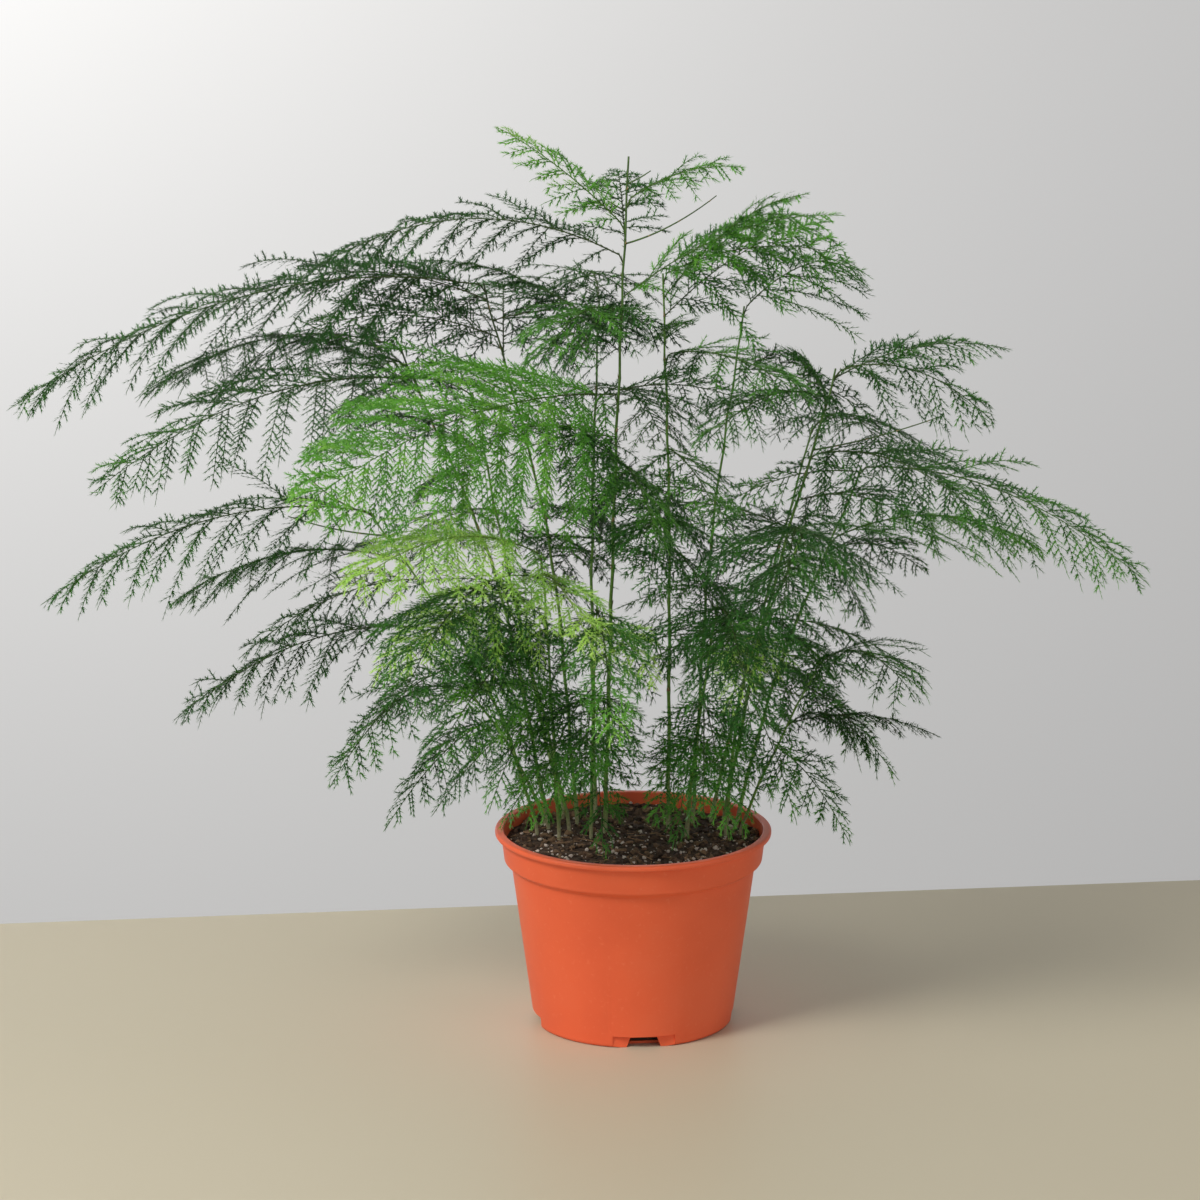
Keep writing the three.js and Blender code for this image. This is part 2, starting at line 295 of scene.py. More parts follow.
def makeFoliageMaterial(name):
    made, tree, shader, coords = startMaterial(name)
    look = foliageFinish
    toneLevel = addNode(tree, "ShaderNodeAttribute", attribute_name="colourTone").outputs["Fac"]
    wood = addNode(tree, "ShaderNodeAttribute", attribute_name="wood").outputs["Fac"]
    # patchy ageing: the noise pushes each spray a little older or younger
    shift = joinMaths(tree, "MULTIPLY_ADD", addNoise(tree, coords, 38.0), 0.34, -0.17)
    # the tone attribute is partly age and partly painted light and shade: its low end paints the shade on
    # fronds inside and at the back of the plant, its high end the light on lit fronds, and young is the real
    # pale new growth
    ramp = addNode(tree, "ShaderNodeValToRGB")
    fillRamp(ramp, [(0.05, look["shadeDeep"]), (0.38, look["middle"]),
                    (0.68, look["bright"]), (0.98, look["young"])])
    tree.links.new(joinMaths(tree, "ADD", toneLevel, shift), ramp.inputs["Fac"])
    colour = mixColours(tree, wood, ramp.outputs["Color"], look["stalk"])
    tree.links.new(colour, shader.inputs["Base Color"])
    shader.inputs["Roughness"].default_value = look["roughness"]
    glow = addNode(tree, "ShaderNodeBsdfTranslucent")
    tree.links.new(colour, glow.inputs["Color"])
    mix = addNode(tree, "ShaderNodeMixShader")
    mix.inputs["Fac"].default_value = look["letThrough"]
    tree.links.new(shader.outputs[0], mix.inputs[1])
    tree.links.new(glow.outputs[0], mix.inputs[2])
    tree.links.new(mix.outputs[0], tree.nodes["Material Output"].inputs["Surface"])
    return made


caneFinish = {
    "straw": linear(196, 192, 150),
    "green": linear(112, 160, 62),
    "dark": linear(54, 70, 40),
    "scale": linear(168, 142, 100),
    "roughness": 0.5,
}


def makeCaneMaterial():
    # the tone attribute runs from 0, the straw foot, through 0.5, green, to 1, the dark upper cane
    made, tree, shader, coords = startMaterial("caneSkin")
    look = caneFinish
    age = addNode(tree, "ShaderNodeAttribute", attribute_name="colourTone").outputs["Fac"]
    scale = addNode(tree, "ShaderNodeAttribute", attribute_name="wood").outputs["Fac"]
    shift = joinMaths(tree, "MULTIPLY_ADD", addNoise(tree, coords, 90.0, 3.0), 0.3, -0.15)
    ramp = addNode(tree, "ShaderNodeValToRGB")
    fillRamp(ramp, [(0.02, look["straw"]), (0.4, look["green"]), (0.95, look["dark"])])
    tree.links.new(joinMaths(tree, "ADD", age, shift), ramp.inputs["Fac"])
    fleck = addNode(tree, "ShaderNodeMapRange")
    tree.links.new(addNoise(tree, coords, 900.0, 2.0), fleck.inputs["Value"])
    fleck.inputs["From Min"].default_value = 0.35
    fleck.inputs["From Max"].default_value = 0.7
    fleck.inputs["To Min"].default_value = 0.0
    fleck.inputs["To Max"].default_value = 0.35
    speckled = mixColours(tree, fleck.outputs[0], ramp.outputs["Color"], look["dark"])
    tree.links.new(mixColours(tree, scale, speckled, look["scale"]), shader.inputs["Base Color"])
    shader.inputs["Roughness"].default_value = look["roughness"]
    addBump(tree, shader, addNoise(tree, coords, 1400.0, 2.0), 0.25, 0.0002)
    return made


potFinish = {
    "body": linear(246, 106, 64),
    "deeper": linear(226, 88, 52),
    "paler": linear(252, 130, 90),
    "roughness": 0.46,
}


def makePotMaterial():
    made, tree, shader, coords = startMaterial("potPlastic")
    look = potFinish
    cloud = addNode(tree, "ShaderNodeValToRGB")
    fillRamp(cloud, [(0.3, look["deeper"]), (0.52, look["body"]), (0.8, look["paler"])])
    tree.links.new(addNoise(tree, coords, 16.0, 4.0), cloud.inputs["Fac"])
    # fine dust and handling marks lie over the even plastic colour
    marks = addNode(tree, "ShaderNodeMapRange")
    tree.links.new(addNoise(tree, coords, 420.0, 6.0), marks.inputs["Value"])
    marks.inputs["From Min"].default_value = 0.6
    marks.inputs["From Max"].default_value = 0.78
    marks.inputs["To Max"].default_value = 0.5
    base = mixColours(tree, 0.35, look["body"], cloud.outputs["Color"])
    tree.links.new(mixColours(tree, marks.outputs[0], base, look["paler"]), shader.inputs["Base Color"])
    rough = joinMaths(tree, "MULTIPLY_ADD", addNoise(tree, coords, 60.0, 5.0), 0.16, look["roughness"] - 0.08)
    tree.links.new(rough, shader.inputs["Roughness"])
    shader.inputs["Specular IOR Level"].default_value = 0.42
    addBump(tree, shader, addNoise(tree, coords, 1500.0, 2.0), 0.12, 0.0002)
    return made


soilFinish = {
    "peat": linear(82, 62, 48),
    "dark": linear(34, 25, 20),
    "bark": linear(164, 130, 98),
    "grain": linear(240, 234, 224),
    "pink": linear(214, 184, 166),
}


def makeSoilMaterial():
    # the tone attribute is 0 for peat up to 1 for bark; wood marks the pale mineral grains
    made, tree, shader, coords = startMaterial("pottingMix")
    look = soilFinish
    tone = addNode(tree, "ShaderNodeAttribute", attribute_name="colourTone").outputs["Fac"]
    pale = addNode(tree, "ShaderNodeAttribute", attribute_name="wood").outputs["Fac"]
    shift = joinMaths(tree, "MULTIPLY_ADD", addNoise(tree, coords, 700.0, 5.0), 0.9, -0.4)
    ramp = addNode(tree, "ShaderNodeValToRGB")
    fillRamp(ramp, [(0.0, look["dark"]), (0.4, look["peat"]), (1.0, look["bark"])])
    tree.links.new(joinMaths(tree, "ADD", tone, shift), ramp.inputs["Fac"])
    mineral = mixColours(tree, addNoise(tree, coords, 260.0, 2.0), look["grain"], look["pink"])
    tree.links.new(mixColours(tree, pale, ramp.outputs["Color"], mineral), shader.inputs["Base Color"])
    shader.inputs["Roughness"].default_value = 0.92
    addBump(tree, shader, addNoise(tree, coords, 1600.0, 4.0), 0.7, 0.0006)
    return made


foliage = makeFoliageMaterial("foliage")
newGrowth = makeFoliageMaterial("newGrowth")
caneSkin = makeCaneMaterial()
potPlastic = makePotMaterial()
pottingMix = makeSoilMaterial()
slotOf = {row["node"]: row["material_slot"] for row in frame["record"]["subparts"]}
print("finishes ready")


potShape = {                   # in mm on a pot whose rim radius is 78 and height 112
    "rim": 78, "height": 112, "lip": 3, "collarTop": 74.6, "collarStep": 72.8, "collarStepHeight": 94.4,
    "wallTop": 68.8, "wallTopHeight": 91.5, "base": 56.3, "corner": 3, "wall": 1.4, "segments": 208,
    "notchFirst": -83.5, "notchFace": 53.4, "notchWidth": 35, "notchHeight": 7, "notchWall": 1.6,
    "drainTop": 15, "drainBottom": 20, "drainHeight": 5.5, "drainInner": 47,
}


def roundedProfile(corners):
    # each corner is radius, height and how much it is rounded
    points = []
    for k, (r, z, ease) in enumerate(corners):
        here = np.array([r, z], float)
        if ease == 0 or k in (0, len(corners) - 1):
            points.append(here)
            continue
        before = np.array(corners[k - 1][:2], float) - here
        after = np.array(corners[k + 1][:2], float) - here
        reach = min(ease, 0.48 * np.linalg.norm(before), 0.48 * np.linalg.norm(after))
        start, end = here + unit(before) * reach, here + unit(after) * reach
        for t in np.linspace(0, 1, 5):
            points.append(start * (1 - t) ** 2 + 2 * here * t * (1 - t) + end * t * t)
    return np.array(points)


def latheFaces(rows, segments):
    # rings of points joined to each other, with a single point at each end of the axis
    faces = []
    for k in range(rows - 1):
        for j in range(segments):
            a, b = k * segments + j, k * segments + (j + 1) % segments
            faces.append((a, b, b + segments, a + segments))
    first, last, rim = rows * segments, rows * segments + 1, (rows - 1) * segments
    for j in range(segments):
        faces.append((first, (j + 1) % segments, j))
        faces.append((last, rim + j, rim + (j + 1) % segments))
    return faces


def lathe(name, profile, segments):
    # a turned solid; the profile starts and ends on the axis
    turn = np.linspace(0, 2 * math.pi, segments, endpoint=False)
    rings = profile[1:-1]
    ring = np.stack([np.outer(rings[:, 0], np.cos(turn)), np.outer(rings[:, 0], np.sin(turn)),
                     np.repeat(rings[:, 1][:, None], segments, 1)], axis=2).reshape(-1, 3)
    ends = [(0, 0, profile[0, 1]), (0, 0, profile[-1, 1])]
    mesh = bpy.data.meshes.new(name)
    mesh.from_pydata(np.concatenate([ring, ends]).tolist(), [], latheFaces(len(rings), segments))
    return linkObject(name, mesh)


def block(name, corners, depth):
    # a prism: a flat outline in (y, z), run along x over the two depths
    count = len(corners)
    places = [(x, y, z) for x in depth for y, z in corners]
    faces = [tuple(range(count))[::-1], tuple(range(count, 2 * count))]
    faces += [(k, (k + 1) % count, count + (k + 1) % count, count + k) for k in range(count)]
    mesh = bpy.data.meshes.new(name)
    mesh.from_pydata(places, [], faces)
    return linkObject(name, mesh)


def applyModifiers(piece):
    graph = bpy.context.evaluated_depsgraph_get()
    graph.update()
    mesh = bpy.data.meshes.new_from_object(piece.evaluated_get(graph))
    piece.modifiers.clear()
    piece.data = mesh


def carve(piece, tool, operation):
    cut = piece.modifiers.new("cut", "BOOLEAN")
    cut.operation = operation
    cut.solver = "EXACT"
    cut.object = tool
    applyModifiers(piece)
    bpy.data.objects.remove(tool)


def makePot():
    low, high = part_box("pot")
    shape = potShape
    scale = (high[2] - low[2]) / shape["height"]
    outer = [
        (0, 0, 0), (shape["base"], 0, 2.4), (shape["wallTop"], shape["wallTopHeight"], 0.6),
        (shape["collarStep"], shape["collarStepHeight"], 0.8),
        (shape["collarTop"], shape["height"] - shape["lip"], 0.5),
        (shape["rim"], shape["height"] - shape["lip"], 1.1), (shape["rim"], shape["height"], 1.4),
    ]
    thick = shape["wall"]
    inner = [
        (shape["collarTop"] - thick, shape["height"], 0.8),
        (shape["collarStep"] - thick, shape["collarStepHeight"] + 0.6, 1.2),
        (shape["wallTop"] - thick, shape["wallTopHeight"] + 0.6, 1.2),
        (shape["base"] - thick, thick, 2.2), (0, thick, 0),
    ]
    pot = lathe("nurseryPot", roundedProfile(outer + inner) * scale, shape["segments"])
    full = roundedProfile(outer + [(0, shape["height"], 0)]) * scale
    half, tall, face = shape["notchWidth"] / 2, shape["notchHeight"], shape["notchFace"]
    back = shape["notchWall"]
    for k in range(4):
        turn = math.radians(shape["notchFirst"] + 90 * k)
        wall = block("notchWall", [(-half - 2, 0.2), (half + 2, 0.2),
                                   (half + 2, tall + back), (-half - 2, tall + back)],
                     (face - back, shape["base"] + 3))
        recess = block("recess", [(-half, -2), (half, -2), (half, tall), (-half, tall)], (face, face + 12))
        drain = block("drain", [(-shape["drainBottom"] / 2, -1), (shape["drainBottom"] / 2, -1),
                                (shape["drainTop"] / 2, shape["drainHeight"]),
                                (-shape["drainTop"] / 2, shape["drainHeight"])],
                      (shape["drainInner"], face + 12))
        for tool in (wall, recess, drain):
            tool.data.transform(rotateAbout(turn, scale))
        envelope = lathe("envelope", full, shape["segments"])
        carve(wall, envelope, "INTERSECT")
        carve(pot, wall, "UNION")
        carve(pot, recess, "DIFFERENCE")
        carve(pot, drain, "DIFFERENCE")
    pot.data.materials.clear()
    pot.data.materials.append(potPlastic)
    pot.data.shade_smooth()
    pot.data.set_sharp_from_angle(angle=math.radians(32))
    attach(pot, "root")
    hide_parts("pot")
    print("pot:", len(pot.data.polygons), "faces")


def rotateAbout(turn, scale):
    return Matrix.Rotation(turn, 4, "Z") @ Matrix.Scale(scale, 4)


makePot()


soilShape = {
    "rings": 50, "segments": 160,
    "lump": 1.5 * mm,          # slow rise and fall of the surface
    "crumb": 1.1 * mm,         # fine roughness
    "crumbs": 1000, "crumbSize": (0.8 * mm, 2.6 * mm),
    "grains": 460, "grainSize": (0.4 * mm, 1.3 * mm),
    "fibres": 90, "fibreLength": (3 * mm, 11 * mm),
    "squash": 0.75,            # how flat the crumbs lie
    "slow": 55, "fine": 330, "grit": 760,  # how close the waves of each roughness are
}


def soilSurface(nodeBox):
    # height of the CAD soil's top, read off its mesh, as a smooth function of x and y
    places = cadMesh("soil")[0]
    top = places[places[:, 2] > nodeBox[1][2] - 6 * mm]
    def height(x, y):
        away = (top[:, 0] - x) ** 2 + (top[:, 1] - y) ** 2
        weight = 1 / (away + (6 * mm) ** 2) ** 2
        return float((weight * top[:, 2]).sum() / weight.sum())
    return height, np.linalg.norm(top[:, :2], axis=1).max()


def addLump(heap, centre, size, tone, pale, rng):
    # a small crumb with a dented surface
    ball = crumbBalls[rng.integers(len(crumbBalls))]
    turn = np.linalg.qr(rng.normal(size=(3, 3)))[0]
    places = (ball[0] * size * rng.uniform(0.75, 1.25, 3)) @ turn.T
    places[:, 2] *= soilShape["squash"]
    addToHeap(heap, places + centre, ball[1], tone, pale)


def makeCrumbBalls():
    balls = []
    for seed in range(9):
        mesh = bmesh.new()
        bmesh.ops.create_icosphere(mesh, subdivisions=1 if seed % 8 else 2, radius=1)
        places = np.array([v.co[:] for v in mesh.verts])
        faces = np.array([[v.index for v in f.verts] for f in mesh.faces])
        mesh.free()
        dents = [1 + 0.6 * noise.noise(Vector(p) * 1.3 + Vector((seed * 7.1, 0, 0))) for p in places]
        balls.append((places * np.array(dents)[:, None], faces))
    return balls


crumbBalls = makeCrumbBalls()


def makeSoil():
    shape = soilShape
    rng = np.random.default_rng(11)
    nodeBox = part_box("soil")
    level, radius = soilSurface(nodeBox)
    radius += 0.3 * mm
    rings, segments = shape["rings"], shape["segments"]
    reach = np.linspace(0, 1, rings + 1)[1:] ** 0.8 * radius
    turn = np.linspace(0, 2 * math.pi, segments, endpoint=False)
    x, y = np.outer(reach, np.cos(turn)).ravel(), np.outer(reach, np.sin(turn)).ravel()
    levels = [level(a, b) for a, b in zip(x[::7], y[::7])]
    z = np.interp(np.arange(len(x)), np.arange(0, len(x), 7), levels)
    tones = []
    for k in range(len(x)):
        place = Vector((x[k], y[k], 0))
        slow = noise.noise(place * shape["slow"])
        fine = noise.noise(place * shape["fine"]) * 0.6 + abs(noise.noise(place * shape["grit"])) * 0.7
        z[k] += shape["lump"] * slow + shape["crumb"] * (fine - 0.25)
        tones.append(0.22 + 0.5 * fine)
    heap = newHeap()
    floor = cadMesh("soil")[0][:, 2].min()
    # skirt down the inside of the pot, then a flat underside
    skirt = [(0.968, 96 * mm), (0.92, 91 * mm), (0.9, 84 * mm), (0.76, 11 * mm), (0.65, 10 * mm),
             (0.65, floor)]
    extra = [np.stack([np.cos(turn) * radius * share, np.sin(turn) * radius * share,
                       np.full(segments, height)], axis=1) for share, height in skirt]
    places = np.concatenate([np.stack([x, y, z], axis=1)] + extra + [[(0, 0, level(0, 0)), (0, 0, floor)]])
    faces = []
    for f in [f[::-1] for f in latheFaces(rings + len(skirt), segments)]:
        faces.append(f[:3])
        if len(f) == 4:
            faces.append((f[0], f[2], f[3]))
    tone = np.full(len(places), 0.2)
    tone[:len(tones)] = tones
    addToHeap(heap, places, faces, tone, 0.0)
    sown = 0
    while sown < shape["crumbs"] + shape["grains"]:
        at = radius * 0.985 * math.sqrt(rng.uniform())
        angle = rng.uniform(0, 2 * math.pi)
        cx, cy = at * math.cos(angle), at * math.sin(angle)
        pale = sown >= shape["crumbs"]
        if pale and rng.uniform() < 0.85 * (cy / radius + 1) / 2:
            continue                       # the pale grains lie mostly towards the front
        low, high = shape["grainSize"] if pale else shape["crumbSize"]
        size = low + (high - low) * rng.uniform() ** 2
        rise = shape["lump"] * noise.noise(Vector((cx, cy, 0)) * shape["slow"])
        centre = (cx, cy, level(cx, cy) + rise + size * (0.55 if pale else 0.2))
        addLump(heap, centre, size, rng.uniform(0.1, 0.75), 1.0 if pale else 0.0, rng)
        sown += 1
    for _ in range(shape["fibres"]):
        at = radius * 0.95 * math.sqrt(rng.uniform())
        angle = rng.uniform(0, 2 * math.pi)
        start = np.array([at * math.cos(angle), at * math.sin(angle), 0])
        start[2] = level(start[0], start[1]) + 1.1 * mm
        heading = unit(np.array([*rng.normal(size=2), rng.normal() * 0.12]))
        length = rng.uniform(*shape["fibreLength"])
        steps = np.linspace(0, 1, 4)[:, None]
        bend = np.array([-heading[1], heading[0], 0]) * rng.normal() * 0.3
        path = start + length * (heading * steps + bend * steps ** 2)
        inside = np.linalg.norm(path[:, :2], axis=1) < radius * 0.97
        if inside.all():
            toneLevel = rng.uniform(0.5, 1.2)
            addTwig(heap, path, np.array([0, 0, 1.0]), 0.35 * mm, 0.2 * mm, toneLevel, 0.0, rng, needles=0)
    piece = heapToPiece("pottingMixTop", heap, pottingMix)
    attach(piece, "root")
    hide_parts("soil")
    print("soil:", len(piece.data.polygons), "faces")


def canePath(node):
    places, edges = cadMesh(node)
    low, high = places[:, 2].min() + 0.2 * mm, places[:, 2].max() - 0.2 * mm
    path, wide = [], []
    for height in np.linspace(low, high, 24):
        ring = slicePoints(places, edges, np.array([0, 0, height]), np.array([0, 0, 1.0]))
        path.append((ring.min(axis=0) + ring.max(axis=0)) / 2)
        wide.append((ring.max(axis=0) - ring.min(axis=0))[:2].min() / 2)
    return resample(np.array(path), 2 * mm), float(np.median(wide))


caneNames = sorted(name for name in frame["nodes"] if name.startswith("cane_"))
frondNames = sorted(name for name in frame["nodes"] if name.startswith("frond_"))
caneReadings = {name: canePath(name) for name in caneNames}
canePaths = {name: reading[0] for name, reading in caneReadings.items()}
caneRadii = {name: reading[1] for name, reading in caneReadings.items()}


def frondEnds(places):
    # the base is beside a cane, and the tip is as far as the frond reaches from it
    best = None
    for path in canePaths.values():
        gaps = np.linalg.norm(places[:, None] - path[None], axis=2)
        i, j = np.unravel_index(gaps.argmin(), gaps.shape)
        if gaps[i, j] > 5 * mm:
            continue
        reach = np.linalg.norm(places - places[i], axis=1)
        if best is None or reach.max() > best[0]:
            base = places[reach < 3.4 * mm].mean(axis=0)
            far = np.linalg.norm(places - places[reach.argmax()], axis=1) < 3.4 * mm
            best = (reach.max(), base, places[far].mean(axis=0), path[max(0, j - 3)])
    return best[1:]


def frondGuide(node, stations=24):
    # left edge, midrib and right edge of the frond at even steps from base to tip
    places, edges = cadMesh(node)
    base, tip, joint = frondEnds(places)
    along = unit(tip - base)
    side = unit(np.cross([0, 0, 1.0], along))
    left, middle, right = [base], [base], [base]
    for k in range(1, stations):
        cut = slicePoints(places, edges, base + (tip - base) * k / stations, along)
        across = (cut - base) @ side
        left.append(cut[across.argmax()])
        right.append(cut[across.argmin()])
        near = np.abs(across) <= np.sort(np.abs(across))[1] + 0.3 * mm
        middle.append(cut[near].mean(axis=0))
    left.append(tip)
    middle.append(tip)
    right.append(tip)
    left, middle, right = (np.array(p) for p in (left, middle, right))
    wide = np.linalg.norm(left - right, axis=1) / 2
    full = np.array([wide[max(0, k - 2):k + 3].max() for k in range(stations + 1)])
    full[0] = full[-1] = 1.2 * mm
    grow = (full / np.maximum(wide, 1 * mm))[:, None]
    left = middle + (left - middle) * grow
    right = middle + (right - middle) * grow
    return {
        "joint": joint, "length": np.linalg.norm(tip - base), "half": full,
        "left": left, "middle": middle, "right": right,
        "normal": unit(np.cross(along, unit(left[8] - right[8]))),
        "steps": np.linspace(0, 1, stations + 1),
    }


def onFrond(guide, u, v):
    # a point on the frond's curved sheet: u from base to tip, v from -1 right to 1 left
    u = np.atleast_1d(u)
    v = np.atleast_1d(v)[:, None]
    def along(points):
        return np.stack([np.interp(u, guide["steps"], points[:, k]) for k in range(3)], axis=1)
    left, middle, right = along(guide["left"]), along(guide["middle"]), along(guide["right"])
    return middle + (left - right) / 2 * v + ((left + right) / 2 - middle) * v * v


twigShape = {
    "needleGap": 2.5 * mm,       # between whorls of needles
    "needleLength": 3.3 * mm,
    "needlesPerSprig": 4,        # in each whorl of the finest sprigs
    "needleLean": 42,            # degrees from the twig
    "midrib": (0.36 * mm, 0.25 * mm),
    "flatness": 0.7,             # how flat the whorls are
}


def twistFrames(path, normal):
    ahead = unit(np.gradient(path, axis=0))
    side = unit(np.cross(ahead, normal))
    return ahead, side, np.cross(side, ahead)


def needleTips(path, frames, angles, length, rng, shape):
    ahead, side, up = frames
    lean = np.radians(twigShape["needleLean"] + rng.uniform(-14, 14, shape))
    lean[-1] *= 0.45
    reach = length * rng.uniform(0.7, 1.1, shape)
    outward = (np.cos(angles)[..., None] * side[:, None, None]
               + (np.sin(angles) * twigShape["flatness"])[..., None] * up[:, None, None])
    return path[:, None, None] + reach[..., None] * (
        np.cos(lean)[..., None] * ahead[:, None, None] + np.sin(lean)[..., None] * outward)


def addTwig(heap, path, normal, thick, thin, toneLevel, wood, rng, needles):
    # a three-sided twig, with that many needles on each side of each of its rings
    count = len(path)
    ahead, side, up = twistFrames(path, normal)
    radius = np.linspace(thick, thin, count)[:, None, None]
    turn = np.radians([90, 210, 330])
    ring = np.cos(turn)[None, :, None] * side[:, None] + np.sin(turn)[None, :, None] * up[:, None]
    places = (path[:, None] + ring * radius).reshape(-1, 3)
    i = np.arange(count - 1)[:, None] * 3
    a = np.arange(3)[None]
    b = (a + 1) % 3
    faces = np.concatenate([
        np.stack([i + a, i + b, i + 3 + b], axis=2).reshape(-1, 3),
        np.stack([i + a, i + 3 + b, i + 3 + a], axis=2).reshape(-1, 3),
        [[0, 2, 1], [count * 3 - 3, count * 3 - 2, count * 3 - 1]],
    ])
    tone = np.repeat(np.linspace(toneLevel - 0.04, toneLevel + 0.03, count), 3)
    bark = np.repeat(np.linspace(wood, wood * 0.4, count), 3)
    if needles:
        length = twigShape["needleLength"]
        shape = (count, 3, needles)
        around = np.radians([150, 270, 30])[None, :, None] + rng.uniform(-1.1, 1.1, shape)
        tips = needleTips(path, (ahead, side, up), around, length, rng, shape)
        ringStart = (np.arange(count) * 3)[:, None, None]
        edgeA = np.broadcast_to(ringStart + np.arange(3)[None, :, None], shape)
        edgeB = np.broadcast_to(ringStart + ((np.arange(3) + 1) % 3)[None, :, None], shape)
        tipAt = count * 3 + np.arange(count * 3 * needles).reshape(shape)
        faces = np.concatenate([faces, np.stack([edgeA, edgeB, tipAt], axis=3).reshape(-1, 3)])
        places = np.concatenate([places, tips.reshape(-1, 3)])
        tone = np.concatenate([tone, toneLevel + rng.uniform(-0.05, 0.16, count * 3 * needles)])
        bark = np.concatenate([bark, np.zeros(count * 3 * needles)])
    addToHeap(heap, places, faces, tone, bark)


def addSprig(heap, path, normal, toneLevel, rng, needles, length):
    # the finest sprigs: a flat green midrib that carries whorls of needles
    count = len(path)
    ahead, side, up = twistFrames(path, normal)
    thin = np.linspace(*twigShape["midrib"], count)[:, None]
    places = np.stack([path + side * thin, path - side * thin], axis=1).reshape(-1, 3)
    i = np.arange(count - 1) * 2
    faces = np.concatenate([np.stack([i, i + 1, i + 3], axis=1), np.stack([i, i + 3, i + 2], axis=1)])
    shape = (count, 1, needles)
    around = (np.linspace(0, 2 * math.pi, needles, endpoint=False)[None, None]
              + rng.uniform(0, 1.2, (count, 1, 1)) + rng.uniform(-0.4, 0.4, shape))
    tips = needleTips(path, (ahead, side, up), around, length, rng, shape)
    edge = np.broadcast_to((np.arange(count) * 2)[:, None, None], shape)
    tipAt = count * 2 + np.arange(count * needles).reshape(shape)
    faces = np.concatenate([faces, np.stack([edge, edge + 1, tipAt], axis=3).reshape(-1, 3)])
    places = np.concatenate([places, tips.reshape(-1, 3)])
    speckle = rng.uniform(-0.05, 0.16, count * needles)
    tone = np.concatenate([np.full(count * 2, toneLevel - 0.06), toneLevel + speckle])
    addToHeap(heap, places, faces, tone, 0.0)


def sprigPath(start, heading, forward, normal, length, lift, gap):
    # a short twig that leaves at an angle and bends forward
    count = max(3, int(round(length / gap)) + 1)
    s = np.linspace(0, 1, count)[:, None]
    return start + length * (heading * s + (forward - heading) * 0.2 * s * s + normal * lift * s)


def addFrond(heap, guide, style, rng):
    gap = twigShape["needleGap"]
    long, normal = guide["length"], guide["normal"]
    # the midrib, from its joint on the cane to the tip
    spine = resample(np.concatenate([[guide["joint"]], guide["middle"]]), gap * 1.3)
    addTwig(heap, spine, normal, style["rib"], 0.2 * mm, style["toneLevel"], style["ribWood"], rng, needles=1)
    spacing = style["spacing"] or 5 * mm + 0.055 * 2 * guide["half"].max()
    at, flip = style["firstBranch"], 1
    while at < 0.98:
        closeness = spacing * (1 - 0.45 * at) * rng.uniform(0.88, 1.12)
        for hand in (1, -1):
            start = at + (0 if hand == flip else 0.5) * closeness / long
            growBranch(heap, guide, style, min(start, 0.99), hand, closeness, rng)
        at += closeness / long
        flip = -flip


def growBranch(heap, guide, style, start, hand, closeness, rng):
    gap = twigShape["needleGap"]
    long, normal = guide["length"], guide["normal"]
    opening = rng.uniform(0.9, 1.08)
    limit = rng.uniform(0.8, 1.04)
    u, across, travelled = start, 0.0, 0.0
    flat = [(start, 0.0)]
    while True:
        half = max(np.interp(u, guide["steps"], guide["half"]), 0.5 * mm)
        if across / half >= limit or u >= 1.0 or travelled > 0.13:
            break
        angle = math.radians((style["angle"] - 10 * start) * opening - 9 * min(1, across / half))
        u += gap * math.cos(angle) / long
        across += gap * math.sin(angle)
        travelled += gap
        half = max(np.interp(min(u, 1), guide["steps"], guide["half"]), 0.5 * mm)
        flat.append((min(u, 1.0), min(across / half, 1.06) * hand))
    if len(flat) < 3:
        return
    flat = np.array(flat)
    path = resample(onFrond(guide, flat[:, 0], flat[:, 1]), gap)
    if len(path) < 3:
        return
    run = np.linspace(0, 1, len(path))[:, None]
    tilt = rng.normal(0, style["ruffle"])
    sink = style["droop"] * travelled * run ** 2
    path = path + normal * (tilt * travelled * run) - np.array([0, 0, 1]) * sink
    toneLevel = style["toneLevel"] + rng.uniform(-0.08, 0.08) + style["tipFresh"] * start ** 2
    if travelled <= style["simpleUnder"]:
        addSprig(heap, path, normal, toneLevel, rng, style["needles"] + 1, twigShape["needleLength"])
        return
    addTwig(heap, path, normal, 0.32 * mm, 0.15 * mm, toneLevel, style["ribWood"] * 0.5, rng, needles=1)
    ahead, side, up = twistFrames(path, normal)
    spacing = style["sprigSpacing"]
    s, flip = rng.uniform(0.5, 1) * spacing, 1
    while s < travelled * 0.97:
        k = min(len(path) - 2, int(s / gap))
        left = 1 - s / travelled
        length = 0.8 * closeness * (0.4 + 0.6 * math.sqrt(left)) * rng.uniform(0.75, 1.2)
        lean = math.radians(rng.uniform(40, 56))
        heading = ahead[k] * math.cos(lean) + side[k] * flip * math.sin(lean)
        lift = rng.normal(0.0, style["ruffle"] * 1.7)
        sprig = sprigPath(path[k], heading, ahead[k], up[k], max(length, 3 * mm), lift, gap)
        addSprig(heap, sprig, normal, toneLevel + rng.uniform(-0.06, 0.08), rng, style["needles"],
                 twigShape["needleLength"])
        s += spacing * 0.5 * rng.uniform(0.85, 1.15)
        flip = -flip


frondStyle = {
    "toneLevel": 0.34, "rib": 0.5 * mm, "ribWood": 0.8, "firstBranch": 0.04, "spacing": None, "ruffle": 0.15,
    "droop": 0.1, "simpleUnder": 15 * mm, "sprigSpacing": 5.3 * mm, "tipFresh": 0.1, "angle": 60,
    "needles": twigShape["needlesPerSprig"],
}
